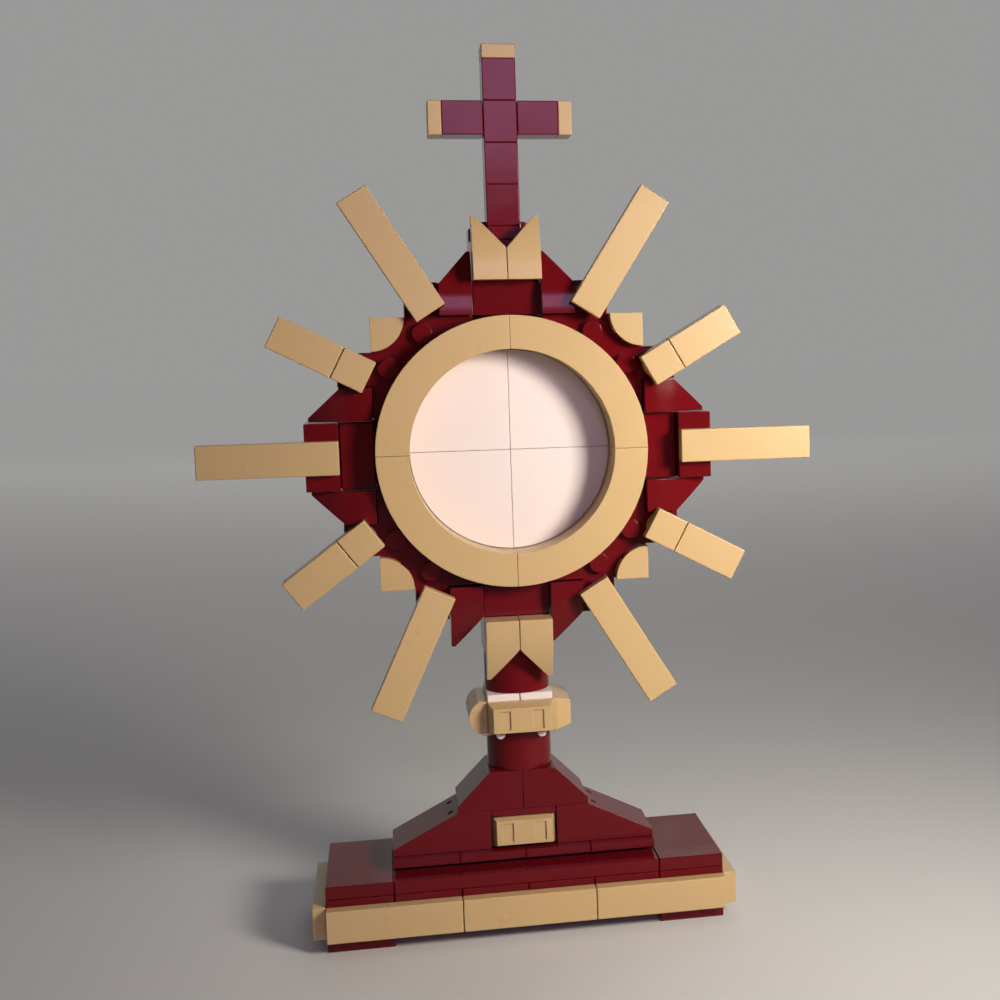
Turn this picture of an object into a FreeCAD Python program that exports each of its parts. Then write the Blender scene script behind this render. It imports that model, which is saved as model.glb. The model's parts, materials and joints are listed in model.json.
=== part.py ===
import FreeCAD, Part
import os
import Sketcher
from FreeCAD import Placement, Rotation, Vector

# A monstrance built from studded bricks: a stepped base and mountain, a stem with a knob,
# a round head framed by ten rays that turn on single studs, and a cross on top.
# Millimetres, +Z up, front towards -Y, origin under the middle of the feet.
doc = FreeCAD.newDocument("Monstrance")

SIZES = {
    "pitch": 8.0,          # stud to stud
    "plate": 3.2,          # height of a plate or tile
    "brick": 9.6,          # height of a brick
    "play": 0.1,           # gap left at every upright side
    "lift": 0.04,          # gap left on top of every piece
    "edge": 0.15,          # chamfer on moulded edges
    "stud_r": 2.4,
    "stud_h": 1.7,
    "stud_root": 0.4,      # how far a stud reaches into its piece
    "wall": 1.4,           # side wall of a hollow piece
    "roof": 1.2,           # top wall of a hollow piece
    "tube_r": 3.2,         # tube between four studs
    "pin_r": 1.5,          # pin between two studs
    "socket_r": 2.45,      # round socket that turns on a stud
    "socket_deep": 1.9,
    "side_stud_low": 4.0,  # height of a side stud on a brick used head down
    "side_stud_high": 5.6,
    "lip": 1.6,            # low end of a slope
    "rail_out": 2.4,       # how far a rail stands out of its plate
    "rail_h": 2.0,
    "bar_h": 4.4,
    "bar_flange": 1.1,
    "bar_inset_x": 1.1,
    "bar_inset_y": 0.9,
    "pocket_x": 2.6,
    "pocket_y": 4.6,
    "pocket_deep": 0.35,
    "recess": 3.2,         # depth of the niche that holds a bar in the lower block
    "wedge_long": 15.0,
    "wedge_high": 6.4,
    "wedge_low": 1.8,
    "wedge_cut": 7.3,      # where the wedge's corner cut begins, from its thick end
    "wedge_tip": 1.0,      # width left at its thin end
    "stem_stud_r": 7.3,    # studs under a round stem brick stay inside this radius
    "stem_socket_r": 7.5,
    "lug_r": 1.1,          # half-round lugs under the knob
    "lug_aside": 1.0,
    "lug_near": 3.1,
    "lug_far": 5.4,
    "ring_out": 32.0,
    "ring_in": 24.0,
    "deck": 16.0,          # top of the base
    "plinth": 19.2,        # top of the rail plates
    "lower_top": 28.8,     # top of the lower mountain
    "mount_top": 38.4,     # top of the upper mountain
    "knob": 48.0,          # bottom of the knob
    "upper_stem": 57.6,
    "neck": 67.2,
    "centre": 116.8,       # height of the middle of the ring
    "collar": 156.8,       # bottom of the block over the head
    "cross": 169.6,        # bottom of the cross
    "long_x": 20.0,        # pivot of the long rays, from the middle of the ring
    "long_z": 36.0,
    "short_x": 36.0,
    "short_z": 20.0,
    "side_x": 44.0,
    "upper_left_long": 122.0,     # resting directions of the rays, degrees from +X
    "upper_right_long": 57.2,
    "lower_left_long": -115.3,
    "lower_right_long": -59.0,
    "upper_left_short": 152.4,
    "upper_right_short": 30.2,
    "lower_left_short": -143.6,
    "lower_right_short": -28.4,
}
sheet = doc.addObject("Spreadsheet::Sheet", "Sizes")
for row, (alias, value) in enumerate(SIZES.items(), start=1):
    sheet.set("A%d" % row, alias)
    sheet.set("B%d" % row, str(value))
    sheet.setAlias("B%d" % row, alias)
doc.recompute()

PITCH, PLATE, BRICK = "Sizes.pitch", "Sizes.plate", "Sizes.brick"
UP = Rotation()
DOWN = Rotation(Vector(1, 0, 0), 180)
FRONT = Rotation(Vector(1, 0, 0), 90)
BACK = Rotation(Vector(1, 0, 0), -90)
RIGHT = Rotation(Vector(0, 1, 0), 90)
LEFT = Rotation(Vector(0, 1, 0), -90)


def spun(rotation, degrees):
    """The rotation, with the piece first turned about its own stud direction."""
    return rotation.multiply(Rotation(Vector(0, 0, 1), degrees))


def at(item, x="0", y="0", z="0"):
    """Bind an object's position to expressions in the sheet's sizes."""
    for axis, expression in zip("xyz", (x, y, z)):
        item.setExpression(".Placement.Base." + axis, expression)
    return item


def cuboid(span_x, span_y, span_z, name="cuboid"):
    """A box between a low and a high expression on each axis."""
    item = doc.addObject("Part::Box", name)
    for side, (low, high) in zip(("Length", "Width", "Height"), (span_x, span_y, span_z)):
        item.setExpression(side, "(%s) - (%s)" % (high, low))
    return at(item, span_x[0], span_y[0], span_z[0])


def round_bar(radius, height, x="0", y="0", z="0", rotation=UP, sweep=None, name="round_bar"):
    """A cylinder, or a slice of one, along the rotated Z axis."""
    item = doc.addObject("Part::Cylinder", name)
    item.setExpression("Radius", radius)
    item.setExpression("Height", height)
    if sweep:
        item.Angle = sweep
    item.Placement.Rotation = rotation
    return at(item, x, y, z)


def stud(x, y, z, rotation=UP):
    """A stud with a chamfered rim; (x, y, z) is the middle of its foot."""
    toward = rotation.multVec(Vector(0, 0, 1))
    root, rim = "-Sizes.stud_root", "Sizes.stud_h - Sizes.edge"

    def shifted(amount):
        return ["%s + %d * (%s)" % (base, round(part), amount) if round(part) else base
                for base, part in zip((x, y, z), toward)]
    shank = round_bar("Sizes.stud_r", "(%s) - (%s)" % (rim, root), *shifted(root),
                      rotation=rotation, name="stud")
    cap = doc.addObject("Part::Cone", "stud_rim")
    cap.setExpression("Radius1", "Sizes.stud_r")
    cap.setExpression("Radius2", "Sizes.stud_r - Sizes.edge")
    cap.setExpression("Height", "Sizes.edge")
    cap.Placement.Rotation = rotation
    return [shank, at(cap, *shifted(rim))]


def sockets(spots):
    """Cutters for round sockets in the underside, at the given (x, y) places."""
    return [round_bar("Sizes.socket_r", "Sizes.socket_deep + 1", x, y, "-1", name="socket") for x, y in spots]


def fuse(parts, name="fused"):
    if len(parts) == 1:
        return parts[0]
    item = doc.addObject("Part::MultiFuse", name)
    item.Shapes = parts
    return item


def cut(base, cutters, name="cut"):
    if not cutters:
        return base
    item = doc.addObject("Part::Cut", name)
    item.Base, item.Tool = base, fuse(cutters, name + "_tools")
    return item


def common(parts, name="common"):
    item = doc.addObject("Part::MultiCommon", name)
    item.Shapes = parts
    return item


def mirrored(item, normal=Vector(1, 0, 0)):
    twin = doc.addObject("Part::Mirroring", item.Name + "_mirrored")
    twin.Source, twin.Normal = item, normal
    return twin


def cells(count):
    """Positions, as expressions, of a row of stud places centred on zero."""
    return ["%g * Sizes.pitch" % (i - (count - 1) / 2) for i in range(count)]


def seams(count):
    """Positions of the lines between those stud places."""
    return ["%g * Sizes.pitch" % (i - (count - 2) / 2) for i in range(count - 1)]


def places(nx, ny):
    return [(x, y) for x in cells(nx) for y in cells(ny)]


def chamfered_block(nx, ny, height):
    """A closed block nx by ny stud places, standing on z = 0, with chamfered edges."""
    body = doc.addObject("PartDesign::Body", "block")
    box = body.newObject("PartDesign::AdditiveBox", "block_box")
    box.setExpression("Length", "%d * Sizes.pitch - 2 * Sizes.play" % nx)
    box.setExpression("Width", "%d * Sizes.pitch - 2 * Sizes.play" % ny)
    box.setExpression("Height", "%s - Sizes.lift" % height)
    at(box, "Sizes.play - %g * Sizes.pitch" % (nx / 2), "Sizes.play - %g * Sizes.pitch" % (ny / 2))
    chamfer = body.newObject("PartDesign::Chamfer", "block_edges")
    chamfer.Base = (box, ["Edge%d" % i for i in range(1, 13)])
    chamfer.setExpression("Size", "Sizes.edge")
    return body


def cavity(nx, ny, height):
    """Cutters for the hollow underside of a piece, with its tubes or pins left standing."""
    margin = "Sizes.play + Sizes.wall"
    spans = [("%s - %g * Sizes.pitch" % (margin, n / 2), "%g * Sizes.pitch - (%s)" % (n / 2, margin))
             for n in (nx, ny)]
    hollow = cuboid(*spans, ("-1", "%s - Sizes.lift - Sizes.roof" % height), name="hollow")
    if nx > 1 and ny > 1:
        posts = [round_bar("Sizes.tube_r", "%s + 2" % height, x, y, "-1")
                 for x in seams(nx) for y in seams(ny)]
        bores = [round_bar("Sizes.stud_r + 0.05", "%s - Sizes.roof - Sizes.lift + 1" % height, x, y, "-1")
                 for x in seams(nx) for y in seams(ny)]
        return [cut(hollow, posts, "hollow_round_tubes")] + bores
    along_x = nx > 1
    lines = seams(max(nx, ny))
    if not lines:
        return [hollow]
    posts = [round_bar("Sizes.pin_r", "%s + 2" % height, *((at_line, "0") if along_x else ("0", at_line)),
                       "-1") for at_line in lines]
    return [cut(hollow, posts, "hollow_round_pins")]


def moulded(name, nx, ny, height, studs=None, side_studs=(), extra=()):
    """A brick, plate or tile. studs lists its stud places; side_studs lists (x, y, z, rotation)."""
    parts = [chamfered_block(nx, ny, height)] + list(extra)
    for x, y in (places(nx, ny) if studs is None else studs):
        parts += stud(x, y, height)
    for x, y, z, rotation in side_studs:
        parts += stud(x, y, z, rotation)
    return cut(fuse(parts, name + "_solid"), cavity(nx, ny, height), name)


def within_stem(items, radius, x="0", y="0"):
    """The part of some studs or sockets that lies inside a radius of the stem's axis at (x, y)."""
    limit = round_bar(radius, "3 * Sizes.brick", x, y, "-Sizes.brick", name="stem_limit")
    return [common([fuse(items, "near_stem"), limit], "within_stem")]


def node(label, copies, x="0", y="0", z="0", turn_name=None):
    """A named sub-part made of placed copies: (mould, rotation, x, y, z)."""
    links = []
    for mould, rotation, *position in copies:
        link = doc.addObject("App::Link", "copy")
        link.LinkedObject = mould
        link.Placement = Placement(Vector(), rotation)
        links.append(at(link, *position))
    item = doc.addObject("Part::Compound", label)
    item.Links = links
    if turn_name:
        item.Placement = Placement(Vector(), Rotation(Vector(0, -1, 0), SIZES[turn_name]))
        item.setExpression(".Placement.Rotation.Angle", "Sizes.%s * 1 deg" % turn_name)
    at(item, x, y, z)
    item.Label = label
    nodes.append(item)
    return item


nodes = []

# --- moulds shared by several sub-parts ---
plate_2x4 = moulded("plate_2x4", 2, 4, PLATE)
tile_2x4 = moulded("tile_2x4", 2, 4, PLATE, studs=[])
plate_8x2 = moulded("plate_8x2", 8, 2, PLATE)
tile_8x1 = moulded("tile_8x1", 8, 1, PLATE, studs=[])
tile_4x1 = moulded("tile_4x1", 4, 1, PLATE, studs=[])
plate_2x1 = moulded("plate_2x1", 2, 1, PLATE)
plate_2x2 = moulded("plate_2x2", 2, 2, PLATE)
tile_2x1 = moulded("tile_2x1", 2, 1, PLATE, studs=[])
jumper_2x1 = moulded("jumper_2x1", 2, 1, PLATE, studs=[("0", "0")])
brick_4x2 = moulded("brick_4x2", 4, 2, BRICK)
brick_2x2 = moulded("brick_2x2", 2, 2, BRICK)
side_face = "Sizes.pitch / 2"
side_stud_brick = moulded("side_stud_brick", 2, 1, BRICK, side_studs=[
    (x, "-(%s)" % side_face, "Sizes.side_stud_low", FRONT) for x in cells(2)])

# --- base: feet, bricks with studs on their outer sides, and the tiles round them ---
for side, sign in (("left", -1), ("right", 1)):
    node(side + "_foot", [(plate_2x4, UP)], x="%d * Sizes.pitch" % (5 * sign))

row_y = "1.5 * Sizes.pitch"
row_of_six = ["2 * (%s)" % x for x in cells(6)]
half_turn = spun(UP, 180)
node("long_side_stud_bricks", [(side_stud_brick, UP, x, "-" + row_y) for x in row_of_six]
     + [(side_stud_brick, half_turn, x, row_y) for x in row_of_six], z=PLATE)
node("end_stud_bricks", [(side_stud_brick, spun(UP, 90 * sign), "%g * Sizes.pitch" % (5.5 * sign))
                         for sign in (-1, 1)], z=PLATE)
node("core_bricks", [(brick_4x2, UP, "-3 * Sizes.pitch"), (brick_2x2, UP),
                     (brick_4x2, UP, "3 * Sizes.pitch")], z=PLATE)

tile_z = "Sizes.plate + Sizes.side_stud_low"
row_of_three = ["4 * (%s)" % x for x in cells(3)]
node("front_tiles", [(tile_4x1, FRONT, x) for x in row_of_three], y="-2 * Sizes.pitch", z=tile_z)
node("back_tiles", [(tile_4x1, BACK, x) for x in row_of_three], y="2 * Sizes.pitch", z=tile_z)
node("end_tiles", [(tile_4x1, spun(RIGHT, 90), "6 * Sizes.pitch"),
                   (tile_4x1, spun(LEFT, 90), "-6 * Sizes.pitch")], z=tile_z)

deck_z = "Sizes.deck - Sizes.plate"
node("deck_tiles", [(tile_2x4, UP, "%d * Sizes.pitch" % x) for x in (-5, 5)], z=deck_z)
node("ledge_tiles", [(tile_8x1, UP, "0", "-" + row_y), (tile_8x1, UP, "0", row_y)], z=deck_z)
node("centre_plate", [(plate_8x2, UP)], z=deck_z)


# --- plinth: rail plates; the two middle ones on each side are smooth on top ---
def rail_plate(name, studs):
    rail = cuboid(("Sizes.play - Sizes.pitch", "Sizes.pitch - Sizes.play"),
                  ("-Sizes.pitch / 2 - Sizes.rail_out", "Sizes.wall - Sizes.pitch / 2"),
                  ("Sizes.plate - Sizes.rail_h", "Sizes.plate - Sizes.lift"), "rail")
    solid = fuse([chamfered_block(2, 1, PLATE), rail] + [p for x, y in studs for p in stud(x, y, PLATE)],
                 name + "_solid")
    return cut(solid, cavity(2, 1, PLATE), name)


rail_stud_plate = rail_plate("rail_stud_plate", places(2, 1))
rail_smooth_plate = rail_plate("rail_smooth_plate", [])
row_of_four = ["2 * (%s)" % x for x in cells(4)]
rail_moulds = [rail_stud_plate, rail_smooth_plate, rail_smooth_plate, rail_stud_plate]
node("rail_plates", [(mould, rotation, x, sign + "Sizes.pitch / 2")
                     for rotation, sign in ((UP, "-"), (half_turn, ""))
                     for mould, x in zip(rail_moulds, row_of_four)], z="Sizes.deck")


# --- mountain: a block with niches, and slopes in two steps ---
def slope(name, long, ny, full, dimples=False, under_stem=False):
    """A brick that keeps its height for `full` stud places from x = 0, then slopes to a lip."""
    block = doc.addObject("PartDesign::Body", name + "_block")
    sketch = block.newObject("Sketcher::SketchObject", name + "_outline")
    sketch.Placement = Placement(Vector(), FRONT)
    outline = [("Sizes.play", "0"), ("%d * Sizes.pitch - Sizes.play" % long, "0"),
               ("%d * Sizes.pitch - Sizes.play" % long, "Sizes.lip"),
               ("%d * Sizes.pitch" % full, "Sizes.brick - Sizes.lift"),
               ("Sizes.play", "Sizes.brick - Sizes.lift")]
    start = [Vector(1, 0, 0), Vector(20, 0, 0), Vector(20, 2, 0), Vector(8, 9, 0), Vector(1, 9, 0)]
    count = len(outline)
    for i in range(count):
        sketch.addGeometry(Part.LineSegment(start[i], start[(i + 1) % count]), False)
    for i in range(count):
        sketch.addConstraint(Sketcher.Constraint("Coincident", i, 2, (i + 1) % count, 1))
    for i, (across, up) in enumerate(outline):
        for kind, expression in (("DistanceX", across), ("DistanceY", up)):
            if expression == "0":
                sketch.addConstraint(Sketcher.Constraint("PointOnObject", i, 1, -1))
            else:
                number = sketch.addConstraint(
                    Sketcher.Constraint(kind, -1, 1, i, 1, start[i].x if kind == "DistanceX" else start[i].y))
                sketch.setExpression("Constraints[%d]" % number, expression)
    pad = block.newObject("PartDesign::Pad", name + "_pad")
    pad.Profile = sketch
    pad.Midplane = True
    pad.setExpression("Length", "%d * Sizes.pitch - 2 * Sizes.play" % ny)
    middle = "%g * Sizes.pitch" % (full / 2)
    studs = [p for y in cells(ny) for p in stud(middle, y, BRICK)]
    if under_stem:
        studs = within_stem(studs, "Sizes.stem_stud_r")
    half = "%g * Sizes.pitch" % (ny / 2)
    hollows = [cuboid(("Sizes.play + Sizes.wall", "%d * Sizes.pitch - Sizes.wall" % full),
                      ("Sizes.play + Sizes.wall - %s" % half, "%s - Sizes.play - Sizes.wall" % half),
                      ("-1", "Sizes.brick - Sizes.lift - Sizes.roof"), "slope_hollow")]
    hollows += sockets([("%g * Sizes.pitch" % (i + 0.5), y) for i in range(full, long) for y in cells(ny)])
    if dimples:
        hollows += [round_bar("0.8", "1", "%g * Sizes.pitch + 1.7" % full, y, "Sizes.brick - 1.3")
                    for y in cells(ny)]
    return cut(fuse([block] + studs, name + "_solid"), hollows, name)


lower_slope = slope("lower_slope", 3, 2, 1, dimples=True)
upper_slope = slope("upper_slope", 2, 2, 1, under_stem=True)


def bar_mould():
    """A bar with a straight flange and a raised, tapered face; it covers two stud places."""
    flange = cuboid(("Sizes.play - Sizes.pitch", "Sizes.pitch - Sizes.play"),
                    ("Sizes.play - Sizes.pitch / 2", "Sizes.pitch / 2 - Sizes.play"),
                    ("0", "Sizes.bar_flange"), "bar_flange")
    taper = doc.addObject("Part::Wedge", "bar_taper")
    near_x, near_y = "Sizes.pitch - Sizes.play", "Sizes.pitch / 2 - Sizes.play"
    far_x, far_y = "Sizes.pitch - Sizes.play - Sizes.bar_inset_x", near_y + " - Sizes.bar_inset_y"
    bounds = {"Xmin": "-(%s)" % near_x, "Xmax": near_x, "Ymin": "Sizes.bar_flange", "Ymax": "Sizes.bar_h",
              "Zmin": "-(%s)" % near_y, "Zmax": near_y, "X2min": "-(%s)" % far_x, "X2max": far_x,
              "Z2min": "-(%s)" % far_y, "Z2max": far_y}
    for name, expression in bounds.items():
        taper.setExpression(name, expression)
    taper.Placement = Placement(Vector(), FRONT)
    pockets = [cuboid(("%s - Sizes.pocket_x / 2" % x, "%s + Sizes.pocket_x / 2" % x),
                      ("-Sizes.pocket_y / 2", "Sizes.pocket_y / 2"),
                      ("Sizes.bar_h - Sizes.pocket_deep", "Sizes.bar_h + 1"), "bar_pocket") for x in cells(2)]
    return cut(fuse([flange, taper], "bar_solid"), pockets + sockets(places(2, 1)), "bar")


def rounded_bar_mould():
    """The knob's left bar: the same flange under a face that is half round from top to bottom."""
    half_x, half_y = "(Sizes.pitch - Sizes.play)", "(Sizes.pitch / 2 - Sizes.play)"
    spans = [("-" + half, half) for half in (half_x, half_y)]
    flange = cuboid(*spans, ("0", "Sizes.bar_flange"), "rounded_bar_flange")
    face = common([cuboid(*spans, ("0", "Sizes.bar_h"), "rounded_bar_block"),
                   round_bar("Sizes.bar_h", "2 * Sizes.pitch", "-Sizes.pitch", rotation=RIGHT)],
                  "rounded_bar_face")
    return cut(fuse([flange, face], "rounded_bar_solid"), sockets(places(2, 1)), "rounded_bar")


bar = bar_mould()
rounded_bar = rounded_bar_mould()
niche_z = "Sizes.pitch"
block_studs = [p for x, y in places(2, 2) for p in stud(x, y, BRICK)]
niches = [cuboid(("-Sizes.pitch - 1", "Sizes.pitch + 1"), span, ("-1", niche_z), "niche") for span in (
    ("-Sizes.pitch - 1", "Sizes.recess - Sizes.pitch"), ("Sizes.pitch - Sizes.recess", "Sizes.pitch + 1"))]
niche_block = cut(fuse([chamfered_block(2, 2, BRICK)] + block_studs, "niche_block_solid"), niches,
                  "niche_block")
niche_studs = [p for x in cells(2) for sign, way in ((-1, FRONT), (1, BACK))
               for p in stud(x, "%d * (Sizes.pitch - Sizes.recess)" % sign, "Sizes.side_stud_low", way)]
niche_brick = fuse([niche_block] + niche_studs, "niche_brick")

node("lower_block", [(niche_brick, UP)], z="Sizes.plinth")
node("lower_slopes", [(lower_slope, half_turn, "-" + PITCH), (lower_slope, UP, PITCH)], z="Sizes.plinth")
node("niche_bars", [(bar, FRONT, "0", "Sizes.recess - Sizes.pitch"),
                    (bar, BACK, "0", "Sizes.pitch - Sizes.recess")], z="Sizes.plinth + Sizes.side_stud_low")
node("upper_slopes", [(upper_slope, half_turn), (upper_slope, UP)], z="Sizes.lower_top")


# --- stem: two round bricks and a four-sided knob ---
def round_brick():
    drum = round_bar("Sizes.pitch - Sizes.play", "Sizes.brick - Sizes.lift", name="drum")
    studs = [p for x, y in places(2, 2) for p in stud(x, y, BRICK)]
    bore = round_bar("Sizes.stud_r", "Sizes.brick + 2", z="-1", name="drum_bore")
    holes = within_stem(sockets(places(2, 2)), "Sizes.stem_socket_r")
    return cut(fuse([drum] + studs, "round_brick_solid"), holes + [bore], "round_brick")


def knob_corner_mould():
    """A quarter of the knob: studs on two outer sides, each with a half-round lug below it."""
    reach = ("Sizes.lug_near", "Sizes.lug_far")
    below = cuboid(("-Sizes.pitch", "Sizes.pitch"), ("-Sizes.pitch", "Sizes.pitch"),
                   ("-Sizes.pitch", "Sizes.play / 2"), "lug_limit")
    long = "%s - %s" % reach[::-1]
    lugs = [round_bar("Sizes.lug_r", long, "Sizes.lug_aside", "-" + reach[0], rotation=FRONT, name="lug"),
            round_bar("Sizes.lug_r", long, reach[0], "-Sizes.lug_aside", rotation=RIGHT, name="lug")]
    top_stud = within_stem(stud("0", "0", BRICK), "Sizes.stem_stud_r", "-Sizes.pitch / 2", "Sizes.pitch / 2")
    return moulded("knob_corner", 1, 1, BRICK, studs=[], side_studs=[
        ("0", "-(%s)" % side_face, "Sizes.side_stud_low", FRONT),
        (side_face, "0", "Sizes.side_stud_low", RIGHT)],
        extra=top_stud + [common([lug, below], "half_lug") for lug in lugs])


stem_drum = round_brick()
knob_corner = knob_corner_mould()
corners = [(1, -1, 0), (1, 1, 90), (-1, 1, 180), (-1, -1, 270)]
node("stem_lower_brick", [(stem_drum, UP)], z="Sizes.mount_top")
node("knob_bricks", [(knob_corner, spun(UP, turn), "%g * Sizes.pitch" % (sx / 2),
                      "%g * Sizes.pitch" % (sy / 2)) for sx, sy, turn in corners], z="Sizes.knob")
node("knob_bars", [(bar, FRONT, "0", "-" + PITCH), (bar, BACK, "0", PITCH),
                   (bar, spun(RIGHT, 90), PITCH), (rounded_bar, spun(LEFT, 90), "-" + PITCH)],
     z="Sizes.knob + Sizes.side_stud_low")
node("stem_upper_brick", [(stem_drum, UP)], z="Sizes.upper_stem")


# --- curved wedges: a slanting cut at one side and a face that bends back to the tip ---
def wedge_mould():
    half, long = "Sizes.pitch / 2 - Sizes.play", "Sizes.wedge_long"
    block = cuboid(("-(%s)" % half, half), ("Sizes.play - Sizes.pitch", long + " - Sizes.pitch"),
                   ("0", "Sizes.wedge_high"), "wedge_block")
    drop = "(Sizes.wedge_high - Sizes.wedge_low)"
    bend_r = "((%s)^2 + %s^2) / (2 * %s)" % (long, drop, drop)
    bend = round_bar(bend_r, "2 * Sizes.pitch", "-Sizes.pitch", "-Sizes.pitch",
                     "Sizes.wedge_high - %s" % bend_r, RIGHT, name="wedge_bend")
    corner = cuboid(("0", "3 * Sizes.pitch"), ("0", "3 * Sizes.pitch"), ("-1", "Sizes.wedge_high + 1"),
                    "wedge_corner")
    corner.Placement = Placement(Vector(), Rotation(Vector(0, 0, 1), 45))
    corner.setExpression(".Placement.Rotation.Angle",
                         "atan((%s - Sizes.wedge_cut) / (Sizes.pitch - Sizes.wedge_tip))" % long)
    at(corner, "-Sizes.pitch / 2", "Sizes.wedge_cut - Sizes.pitch", "-1")
    return cut(common([block, bend], "wedge_bent"), [corner] + sockets([("0", "-Sizes.pitch / 2")]),
               "wedge_right")


wedge_right = wedge_mould()
wedge_left = mirrored(wedge_right)

neck_brick = moulded("neck_brick_mould", 2, 2, BRICK, side_studs=[
    (x, "-Sizes.pitch", "Sizes.side_stud_high", FRONT) for x in cells(2)])
half_pitch = "Sizes.pitch / 2"
collar_brick = moulded("collar_brick_mould", 2, 2, BRICK,
                       studs=[("0", "-" + half_pitch)] + [(x, half_pitch) for x in cells(2)],
                       side_studs=[(x, "-Sizes.pitch", "Sizes.side_stud_low", FRONT) for x in cells(2)])
node("neck_brick", [(neck_brick, UP)], z="Sizes.neck")
node("neck_wedges", [(wedge_left, spun(FRONT, 180), "Sizes.pitch / 2"),
                     (wedge_right, spun(FRONT, 180), "-Sizes.pitch / 2")],
     y="-" + PITCH, z="Sizes.centre - 6 * Sizes.pitch")


# --- head: brackets at top and bottom, the back plate and the pieces that stiffen it ---
def head_bracket(name, studs, socketed):
    """An upright block one stud place high with a tongue that reaches behind the back plate."""
    block = chamfered_block(2, 2, PITCH)
    tongue = cuboid(("Sizes.play - Sizes.pitch", "Sizes.pitch - Sizes.play"),
                    ("Sizes.plate / 2 + Sizes.lift", "1.5 * Sizes.plate"),
                    ("Sizes.pitch / 2", "3 * Sizes.pitch - Sizes.play"), "tongue")
    parts = [block, tongue]
    parts += [p for x in cells(2) for up in ("1.5", "2.5")
              for p in stud(x, "Sizes.plate / 2", up + " * Sizes.pitch", FRONT)]
    if studs:
        parts += [p for x, y in places(2, 2) for p in stud(x, y, "0", DOWN)]
    cutters = sockets(places(2, 2)) if socketed else []
    return cut(fuse(parts, name + "_solid"), cutters, name)


bottom_bracket = head_bracket("bottom_bracket", studs=False, socketed=True)
top_bracket = head_bracket("top_bracket", studs=True, socketed=False)
node("head_bottom_bracket", [(bottom_bracket, UP)], z="Sizes.centre - 5 * Sizes.pitch")
node("head_top_bracket", [(top_bracket, Rotation(Vector(0, 1, 0), 180))],
     z="Sizes.centre + 5 * Sizes.pitch")

# the back plate has no stud where the ring's inner and outer edges run
edge_spots = [(1.5, 2.5), (2.5, 1.5), (1.5, 3.5), (3.5, 1.5)]
edge_places = [("%g * Sizes.pitch" % (sx * x), "%g * Sizes.pitch" % (sy * y))
               for sx in (-1, 1) for sy in (-1, 1) for x, y in edge_spots]
head_plate = moulded("head_plate", 8, 8, PLATE, studs=[p for p in places(8, 8) if p not in edge_places])
layer = {name: "%g * Sizes.plate" % offset for name, offset in (
    ("rear", 1.5), ("back", 0.5), ("first", -0.5), ("second", -1.5), ("third", -2.5), ("fourth", -3.5))}
node("head_back_plate", [(head_plate, FRONT)], y=layer["back"], z="Sizes.centre")

quadrants = [(1, 1), (-1, 1), (-1, -1), (1, -1)]


def around(mould, across, up, turn=0):
    """Copies, facing front, in the four quadrants at (+-across, +-up) stud places."""
    rotation = spun(FRONT, turn)
    return [(mould, rotation, "%g * Sizes.pitch" % (sx * across), "0", "%g * Sizes.pitch" % (sz * up))
            for sx, sz in quadrants]


node("head_rear_plates", around(plate_2x2, 2, 4) + around(plate_2x2, 4, 2)
     + [(plate_2x2, FRONT, "%d * Sizes.pitch" % x) for x in (-4, 4)], y=layer["rear"], z="Sizes.centre")
node("head_arm_plates", around(plate_2x1, 2, 4.5) + around(plate_2x1, 4.5, 2, turn=90),
     y=layer["back"], z="Sizes.centre")


def corner_filler(name, tall, studs):
    """A plate that fills the corner outside the ring, for the upper right; x and y are right and up."""
    high = "%s - Sizes.lift" % tall
    first, second = ("%d * Sizes.pitch + Sizes.play" % line for line in (1, 2))
    third, fourth, fifth = ("%d * Sizes.pitch - Sizes.play" % line for line in (3, 4, 5))
    parts = [cuboid((first, fourth), (first, fourth), ("0", high), "corner_square"),
             cuboid((second, third), (second, fifth), ("0", high), "corner_upper"),
             cuboid((second, fifth), (second, third), ("0", high), "corner_outer")]
    for x, y in studs:
        parts += stud(x, y, tall)
    bite = round_bar("Sizes.ring_out + Sizes.play", "2 * (%s)" % tall, z="-1", name="corner_bite")
    return cut(fuse(parts, name + "_solid"), [bite] + sockets(studs), name)


corner_studs = [("%g * Sizes.pitch" % x, "%g * Sizes.pitch" % y)
                for x, y in ((2.5, 3.5), (3.5, 2.5), (3.5, 3.5), (2.5, 4.5), (4.5, 2.5))]
filler = corner_filler("filler", "2 * Sizes.plate", corner_studs)
node("corner_fillers", [(filler, spun(FRONT, 0)), (mirrored(filler), spun(FRONT, 0)),
                        (filler, spun(FRONT, 180)), (mirrored(filler), spun(FRONT, 180))],
     y=layer["first"], z="Sizes.centre")
plate_1x1 = moulded("plate_1x1", 1, 1, PLATE)
node("flank_plates", around(plate_1x1, 1.5, 4.5) + around(plate_1x1, 4.5, 1.5), y=layer["first"],
     z="Sizes.centre")


# --- ring and disc ---
def quarter(radius_out, radius_in, height, holes, name):
    """A quarter of a ring or disc; its two ends keep half the play to the next quarter."""
    outer = round_bar("%s - Sizes.play" % radius_out, height, sweep=90, name=name + "_outer")
    cutters = sockets(holes)
    if radius_in:
        cutters.append(round_bar("%s + Sizes.play / 2" % radius_in, "(%s) + 2" % height, z="-1",
                                 name=name + "_inner"))
    keep = cuboid(("Sizes.play / 2", "5 * Sizes.pitch"), ("Sizes.play / 2", "5 * Sizes.pitch"),
                  ("-1", "(%s) + 1" % height), name + "_keep")
    return cut(common([outer, keep], name + "_slice"), cutters, name)


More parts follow.
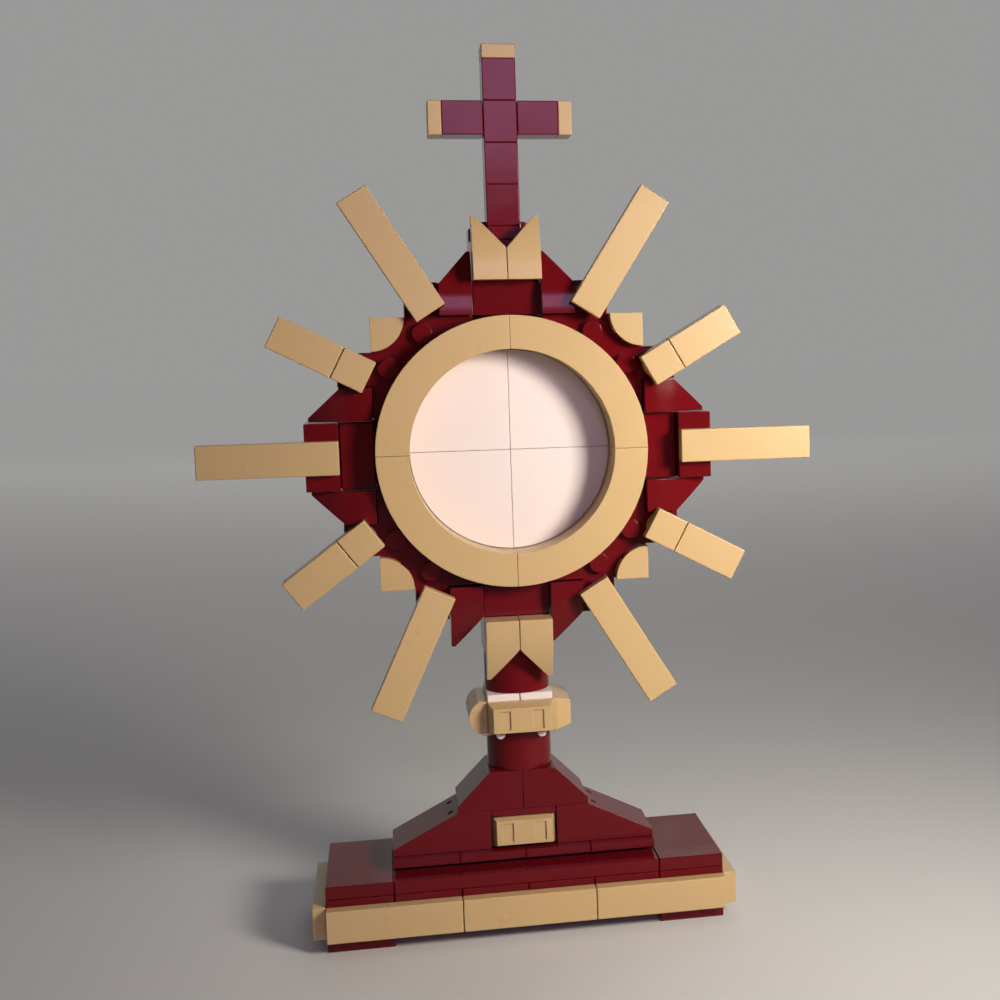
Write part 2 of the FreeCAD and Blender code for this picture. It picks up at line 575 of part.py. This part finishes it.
quarter_turns = (0, 90, 180, 270)
end_places = [("3.5 * Sizes.pitch", "0.5 * Sizes.pitch"), ("0.5 * Sizes.pitch", "3.5 * Sizes.pitch")]
middle_place = ("2.5 * Sizes.pitch", "2.5 * Sizes.pitch")
ring_base = quarter("Sizes.ring_out", "Sizes.ring_in", "Sizes.brick - Sizes.lift",
                    end_places + [middle_place], "ring_quarter")
ring_quarter = fuse([ring_base] + [p for x, y in end_places for p in stud(x, y, BRICK)],
                    "ring_quarter_studded")
ring_tile = quarter("Sizes.ring_out", "Sizes.ring_in", "Sizes.plate - Sizes.lift", end_places, "ring_tile")
disc_places = [("%g * Sizes.pitch" % x, "%g * Sizes.pitch" % y)
               for x, y in ((0.5, 0.5), (1.5, 0.5), (0.5, 1.5), (1.5, 1.5), (2.5, 0.5), (0.5, 2.5))]
disc_quarter = quarter("Sizes.ring_in", "", "Sizes.plate - Sizes.lift", disc_places, "disc_quarter")
for label, mould, depth in (("ring_bricks", ring_quarter, "first"), ("ring_tiles", ring_tile, "fourth"),
                            ("disc_quarters", disc_quarter, "first")):
    node(label, [(mould, spun(FRONT, turn)) for turn in quarter_turns], y=layer[depth], z="Sizes.centre")


# --- trim round the ring ---
tile_1x1 = moulded("tile_1x1", 1, 1, PLATE, studs=[])


def rounded_corner_tile():
    """A tile for one stud place whose corner nearest the ring is rounded off."""
    half = "Sizes.pitch / 2 - Sizes.play"
    slab = "Sizes.plate - Sizes.lift"
    square = cuboid(("-(%s)" % half, half), ("-(%s)" % half, half), ("0", slab), "corner_tile_square")
    rounding = round_bar("Sizes.pitch - 2 * Sizes.play", slab, half, half, name="corner_tile_round")
    return cut(common([square, rounding], "corner_tile_slab"), sockets([("0", "0")]), "corner_tile")


corner_tile = rounded_corner_tile()
node("corner_tiles", [(corner_tile, spun(FRONT, turn), "%g * Sizes.pitch" % (3.5 * sx), "0",
                       "%g * Sizes.pitch" % (3.5 * sz)) for (sx, sz), turn in zip(quadrants, quarter_turns)],
     y=layer["third"], z="Sizes.centre")

upright_flanks = [(wedge_left, FRONT, "1.5", "5"), (wedge_right, FRONT, "-1.5", "5"),
                  (wedge_right, spun(FRONT, 180), "1.5", "-5"), (wedge_right, spun(FRONT, 180), "-1.5", "-5")]
level_flanks = [(wedge_right, spun(FRONT, -90), "5", "1.5"), (wedge_left, spun(FRONT, -90), "5", "-1.5"),
                (wedge_left, spun(FRONT, 90), "-5", "1.5"), (wedge_right, spun(FRONT, 90), "-5", "-1.5")]
for label, flanks in (("upright_flanks", upright_flanks), ("level_flanks", level_flanks)):
    node(label, [(mould, rotation, across + " * Sizes.pitch", "0", up + " * Sizes.pitch")
                 for mould, rotation, across, up in flanks], y=layer["second"], z="Sizes.centre")

upright = spun(FRONT, 90)
node("side_arm_plates", [(plate_2x2, FRONT, "%d * Sizes.pitch" % x, "-%d * Sizes.plate" % below)
                         for x in (-5, 5) for below in (0, 1)]
     + [(plate_2x1, upright, "%g * Sizes.pitch" % x, "-2 * Sizes.plate") for x in (-5.5, 5.5)],
     y=layer["back"], z="Sizes.centre")
node("side_panels", [(tile_2x1, upright, "%g * Sizes.pitch" % x) for x in (-4.5, 4.5)],
     y=layer["second"], z="Sizes.centre")
node("ray_jumpers", [(jumper_2x1, upright, "%g * Sizes.pitch" % x) for x in (-5.5, 5.5)],
     y=layer["third"], z="Sizes.centre")


# --- rays: each turns about one stud, through a round socket near its inner end ---
def ray_strip(name, long, studs, rounded=False):
    """A strip one stud place wide and its shift along X that brings the socket to the origin."""
    shift = "%g * Sizes.pitch" % ((long - 1) / 2)
    solid = fuse([chamfered_block(long, 1, PLATE)] + [p for x in studs for p in stud(x, "0", PLATE)],
                 name + "_solid")
    start = "Sizes.pitch + Sizes.play + Sizes.wall / 2 - %g * Sizes.pitch" % (long / 2)
    half = "Sizes.pitch / 2 - Sizes.play - Sizes.wall"
    hollow = cuboid((start, "%g * Sizes.pitch - Sizes.play - Sizes.wall" % (long / 2)),
                    ("-(%s)" % half, half), ("-1", "Sizes.plate - Sizes.lift - Sizes.roof"), name + "_hollow")
    pins = [round_bar("Sizes.pin_r", "Sizes.plate + 2", x, "0", "-1") for x in seams(long)[1:]]
    cutters = [cut(hollow, pins, name + "_hollow_pins")] + sockets([("-" + shift, "0")])
    if rounded:
        end = cuboid(("-%g * Sizes.pitch" % (long / 2), "-" + shift), ("-Sizes.pitch / 2", "Sizes.pitch / 2"),
                     ("-1", PLATE), name + "_end")
        drum = round_bar("Sizes.pitch / 2 - Sizes.play", "2 * Sizes.plate", "-" + shift, z="-2",
                         name=name + "_end_round")
        cutters.append(cut(end, [drum], name + "_end_corners"))
    return cut(solid, cutters, name), shift


long_ray, long_shift = ray_strip("long_ray", 4, [])
short_ray, short_shift = ray_strip("short_ray", 3, cells(3), rounded=True)


def round_plate():
    drum = round_bar("Sizes.pitch / 2 - Sizes.play", "Sizes.plate - Sizes.lift", name="round_plate_drum")
    return cut(fuse([drum] + stud("0", "0", PLATE), "round_plate_solid"), sockets([("0", "0")]),
               "round_plate")


spacer = round_plate()
node("ray_spacers", [(spacer, FRONT, "%d * Sizes.long_x" % sx, "0", "%d * Sizes.long_z" % sz)
                     for sx, sz in quadrants], y=layer["third"], z="Sizes.centre")

names = {(1, 1): "upper_right", (-1, 1): "upper_left", (-1, -1): "lower_left", (1, -1): "lower_right"}
for (sx, sz), name in names.items():
    node(name + "_long_ray", [(long_ray, FRONT, long_shift)], x="%d * Sizes.long_x" % sx, y=layer["fourth"],
         z="Sizes.centre + %d * Sizes.long_z" % sz, turn_name=name + "_long")
    pivot = {"x": "%d * Sizes.short_x" % sx, "z": "Sizes.centre + %d * Sizes.short_z" % sz}
    node(name + "_short_plate", [(short_ray, FRONT, short_shift)], y=layer["third"],
         turn_name=name + "_short", **pivot)
    node(name + "_short_tiles", [(tile_1x1, FRONT, "0"), (tile_2x1, FRONT, "1.5 * Sizes.pitch")],
         y=layer["fourth"], turn_name=name + "_short", **pivot)
node("left_ray", [(long_ray, spun(FRONT, 180), "-(%s)" % long_shift)],
     x="-Sizes.side_x", y=layer["fourth"], z="Sizes.centre")
node("right_ray", [(long_ray, FRONT, long_shift)], x="Sizes.side_x", y=layer["fourth"], z="Sizes.centre")

# --- collar and cross: the cross turns on the stud of the small front plate ---
node("collar_brick", [(collar_brick, UP)], z="Sizes.collar")
node("collar_wedges", [(wedge_right, FRONT, "Sizes.pitch / 2"), (wedge_left, FRONT, "-Sizes.pitch / 2")],
     y="-" + PITCH, z="Sizes.centre + 6 * Sizes.pitch")
node("collar_plates", [(plate_1x1, UP, "0", "-" + half_pitch), (plate_2x1, UP, "0", half_pitch)],
     z="Sizes.collar + Sizes.brick")

cross_foot = cut(fuse([chamfered_block(1, 1, BRICK)] + stud("0", "0", BRICK), "cross_foot_solid"),
                 sockets([("0", "0")]), "cross_foot")
brick_1x1 = moulded("brick_1x1", 1, 1, BRICK)
arm_brick = moulded("arm_brick", 1, 1, BRICK, side_studs=[
    (side_face, "0", "Sizes.side_stud_high", RIGHT),
    ("-(%s)" % side_face, "0", "Sizes.side_stud_high", LEFT)])
cross_y = "-" + half_pitch
node("cross_bricks", [(mould, UP, "0", "0", "%d * Sizes.brick" % i)
                      for i, mould in enumerate((cross_foot, brick_1x1, arm_brick, brick_1x1))],
     y=cross_y, z="Sizes.cross")
arm_z = "Sizes.cross + 2 * Sizes.brick + Sizes.side_stud_high"
node("cross_arms", [(brick_1x1, RIGHT, "Sizes.pitch / 2"), (brick_1x1, LEFT, "-Sizes.pitch / 2")],
     y=cross_y, z=arm_z)
node("cross_arm_caps", [(tile_1x1, RIGHT, "Sizes.pitch / 2 + Sizes.brick"),
                        (tile_1x1, LEFT, "-Sizes.pitch / 2 - Sizes.brick")],
     y=cross_y, z=arm_z)
node("cross_top_tile", [(tile_1x1, UP)], y=cross_y, z="Sizes.cross + 4 * Sizes.brick")

# --- check and export ---
doc.recompute()
for item in doc.Objects:
    if "Invalid" in item.State or "Error" in item.State:
        raise RuntimeError("%s (%s) did not compute: %s" % (item.Name, item.Label, item.State))
for item in nodes:
    if item.Shape.isNull() or not item.Shape.isValid() or not item.Shape.Solids:
        raise RuntimeError("%s has no valid shape" % item.Label)
os.makedirs("parts", exist_ok=True)
for item in nodes:
    item.Shape.exportStep("parts/%s.step" % item.Label)
print(len(nodes), "sub-parts written")
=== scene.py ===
import json
import math

import bpy
from mathutils import Matrix, Vector

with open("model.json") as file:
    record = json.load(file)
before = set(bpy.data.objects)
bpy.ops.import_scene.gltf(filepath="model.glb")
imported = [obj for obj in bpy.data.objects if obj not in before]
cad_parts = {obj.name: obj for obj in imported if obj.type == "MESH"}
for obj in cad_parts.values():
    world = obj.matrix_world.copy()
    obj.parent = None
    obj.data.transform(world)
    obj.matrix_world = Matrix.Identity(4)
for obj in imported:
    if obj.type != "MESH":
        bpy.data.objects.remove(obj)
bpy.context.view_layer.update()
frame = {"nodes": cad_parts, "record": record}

# patterns on the plastic: how fine each noise is, per metre
CLOUD, SMEAR, RIPPLE, DUST, GRAIN = 18.0, 90.0, 330.0, 2600.0, 5200.0
SCRATCH = (220.0, 900.0, 5200.0)
DUST_COLOUR = (0.75, 0.7, 0.66, 1.0)
EDGE_RADIUS = 0.00022
PLASTIC_IOR = 1.53


class Nodes:
    """Adds shader nodes to one material and links them by socket name."""

    def __init__(self, name):
        self.material = bpy.data.materials.new(name)
        self.material.use_nodes = True
        self.tree = self.material.node_tree
        self.tree.nodes.clear()

    def add(self, kind, inputs=(), **settings):
        item = self.tree.nodes.new(kind)
        for key, value in settings.items():
            setattr(item, key, value)
        for key, value in dict(inputs).items():
            if isinstance(value, bpy.types.NodeSocket):
                self.tree.links.new(value, item.inputs[key])
            else:
                item.inputs[key].default_value = value
        return item

    def place(self):
        """The place on the object, in metres."""
        return self.add("ShaderNodeTexCoord").outputs["Object"]

    def noise(self, place, scale, detail=2.0):
        settings = {"Vector": place, "Scale": scale, "Detail": detail, "Roughness": 0.5}
        return self.add("ShaderNodeTexNoise", settings).outputs["Fac"]

    def spread(self, value, low, high, from_low=0.0, from_high=1.0):
        """Maps a value onto the range low to high."""
        ranges = {"From Min": from_low, "From Max": from_high, "To Min": low, "To Max": high}
        return self.add("ShaderNodeMapRange", {"Value": value, **ranges}).outputs["Result"]

    def combine(self, operation, first, second):
        return self.add("ShaderNodeMath", {0: first, 1: second}, operation=operation).outputs[0]

    def bump(self, height, strength, distance, normal):
        settings = {"Height": height, "Strength": strength, "Distance": distance, "Normal": normal}
        return self.add("ShaderNodeBump", settings).outputs["Normal"]

    def finish(self, shader):
        self.add("ShaderNodeOutputMaterial", {"Surface": shader.outputs["BSDF"]})
        return self.material


# --- materials: moulded plastic with a faint ripple, rounded edges and small marks of handling ---
def plastic_colour(n, place, colour, shade, dust):
    """Each node a touch lighter or darker, slightly clouded, with specks of dust."""
    batch = n.add("ShaderNodeObjectInfo").outputs["Random"]
    cloud = n.noise(place, CLOUD)
    tone = n.combine("MULTIPLY", n.spread(batch, 1.0 - shade, 1.0 + shade),
                     n.spread(cloud, 0.98, 1.02, 0.3, 0.7))
    tinted = n.add("ShaderNodeHueSaturation", {"Color": (*colour, 1.0), "Value": tone,
                                               "Saturation": n.spread(cloud, 0.97, 1.03)}).outputs["Color"]
    specks = n.spread(n.noise(place, DUST), 0.0, dust, 0.62, 0.8)
    dusty = n.add("ShaderNodeMixRGB", {"Fac": specks, "Color1": tinted, "Color2": DUST_COLOUR})
    return dusty.outputs["Color"]


def plastic_roughness(n, place, gloss):
    """The mould's gloss, broken by fine scratches and wide smears."""
    stretched = n.add("ShaderNodeMapping", {"Vector": place, "Scale": SCRATCH,
                                            "Rotation": (0.3, 0.5, 0.2)}).outputs["Vector"]
    scratches = n.spread(n.noise(stretched, 1.0), 0.0, 0.16, 0.68, 0.8)
    smears = n.spread(n.noise(place, SMEAR), -0.03, 0.04, 0.3, 0.7)
    return n.combine("ADD", n.combine("ADD", scratches, smears), gloss)


def plastic_normal(n, place):
    """Rounded edges, the slow ripple of a moulded wall and its fine grain."""
    rounded = n.add("ShaderNodeBevel", {"Radius": EDGE_RADIUS}, samples=6).outputs["Normal"]
    rippled = n.bump(n.noise(place, RIPPLE), 0.05, 0.0004, rounded)
    return n.bump(n.noise(place, GRAIN), 0.04, 0.00006, rippled)


def moulded_plastic(name, colour, gloss, sheen, glow=0.0, dust=0.0, shade=0.04):
    """Glossy ABS. glow lets a little light into the plastic, and sheen sets how strongly it mirrors."""
    n = Nodes(name)
    place = n.place()
    return n.finish(n.add("ShaderNodeBsdfPrincipled", {
        "Base Color": plastic_colour(n, place, colour, shade, dust),
        "Roughness": plastic_roughness(n, place, gloss), "Normal": plastic_normal(n, place),
        "IOR": PLASTIC_IOR, "Specular IOR Level": sheen, "Subsurface Weight": glow,
        "Subsurface Radius": (1.0, 0.6, 0.4), "Subsurface Scale": 0.0012}))


plastics = {
    "dark_red": moulded_plastic("dark_red_plastic", (0.115, 0.0035, 0.006), gloss=0.12, sheen=0.18,
                                dust=0.01),
    "tan": moulded_plastic("tan_plastic", (0.52, 0.36, 0.168), gloss=0.3, sheen=0.4, glow=0.06),
    "white": moulded_plastic("white_plastic", (0.77, 0.68, 0.635), gloss=0.32, sheen=0.4, glow=0.08,
                             shade=0.01),
}
slots = {part["node"]: part["material_slot"] for part in frame["record"]["subparts"]}
for node, item in frame["nodes"].items():
    item.data.materials.clear()
    item.data.materials.append(plastics[slots[node]])


# --- floor and room: both pale behind the object, the floor by a painted glow, and the room dim behind the camera ---
PALE = (0.95, 0.94, 0.93, 1.0)
FLOOR_REACH = 6.0


def floor_paint_and_glow():
    """Matt paint with a painted glow that brightens towards the back, so that it meets the room without a
    line.
    """
    n = Nodes("floor_paint_and_glow")
    place = n.place()
    grain = n.noise(place, 40.0, 4.0)
    behind = n.add("ShaderNodeSeparateXYZ", {"Vector": place}).outputs["Y"]
    # painted glow: the floor emits pale light, rising towards the back, in place of light falling on the far
    # floor
    return n.finish(n.add("ShaderNodeBsdfPrincipled", {
        "Base Color": (0.64, 0.64, 0.63, 1.0), "Roughness": n.spread(grain, 0.6, 0.75),
        "Emission Color": PALE, "Emission Strength": n.spread(behind, 0.0, 0.22, 0.15, 1.5)}))


floor_mesh = bpy.data.meshes.new("floor")
floor_mesh.from_pydata([(x * FLOOR_REACH, y * FLOOR_REACH, 0)
                        for x, y in ((-1, -1), (1, -1), (1, 1), (-1, 1))], [], [(0, 1, 2, 3)])
floor_mesh.materials.append(floor_paint_and_glow())
floor = bpy.data.objects.new("floor", floor_mesh)
bpy.context.collection.objects.link(floor)

world = bpy.data.worlds.new("room")
world.use_nodes = True
room = world.node_tree
direction = room.nodes.new("ShaderNodeTexCoord").outputs["Generated"]
split = room.nodes.new("ShaderNodeSeparateXYZ")
brightness = room.nodes.new("ShaderNodeMapRange")
for key, value in {"From Min": -0.3, "From Max": 0.9, "To Min": 0.05, "To Max": 0.34}.items():
    brightness.inputs[key].default_value = value
room.links.new(direction, split.inputs["Vector"])
room.links.new(split.outputs["Y"], brightness.inputs["Value"])
room.links.new(brightness.outputs["Result"], room.nodes["Background"].inputs["Strength"])
room.nodes["Background"].inputs["Color"].default_value = PALE
bpy.context.scene.world = world
bpy.context.scene.view_settings.view_transform = "Standard"


# --- lights: a warm key from the front right, a cool fill, a back light and a violet window ---
def soft_light(name, place, target, size, power, colour, spread=180.0):
    data = bpy.data.lights.new(name, "AREA")
    data.shape, data.size = "SQUARE", size
    data.energy, data.color, data.spread = power, colour, math.radians(spread)
    lamp = bpy.data.objects.new(name, data)
    lamp.location = place
    lamp.rotation_euler = (Vector(target) - Vector(place)).to_track_quat("-Z", "Y").to_euler()
    bpy.context.collection.objects.link(lamp)


middle, cross_middle = (0.0, 0.0, 0.11), (0.0, 0.0, 0.19)
soft_light("key", (0.17, -0.21, 0.175), (0.06, 0.0, 0.1), 0.08, 0.41, (1.0, 0.92, 0.82), spread=110.0)
soft_light("fill", (-0.9, -0.8, 0.3), middle, 0.8, 0.35, (0.86, 0.86, 1.0))
soft_light("back", (0.3, 1.2, 0.9), middle, 0.8, 1.6, (1.0, 0.98, 0.95))
soft_light("violet_window", (0.09, -1.2, 0.46), cross_middle, 0.3, 1.7, (0.8, 0.55, 1.0))

# --- camera: left of the middle, turned right, looking slightly down and tilted by hand ---
camera_place = (-0.0287, -0.3563, 0.1422)
yaw, pitch, roll = math.radians(-10.36), math.radians(6.34), math.radians(-1.33)
forward = Vector((-math.sin(yaw) * math.cos(pitch), math.cos(yaw) * math.cos(pitch), -math.sin(pitch)))
level = Vector((math.cos(yaw), math.sin(yaw), 0.0))
upward = level.cross(forward)
right = level * math.cos(roll) + upward * math.sin(roll)
top = upward * math.cos(roll) - level * math.sin(roll)
lens = bpy.data.cameras.new("camera")
lens.sensor_width, lens.lens = 36.0, 52.6
lens.shift_x, lens.shift_y = -0.157, 0.002
camera = bpy.data.objects.new("camera", lens)
camera.matrix_world = Matrix.Translation(camera_place) @ Matrix((right, top, -forward)).transposed().to_4x4()
bpy.context.collection.objects.link(camera)
bpy.context.scene.camera = camera
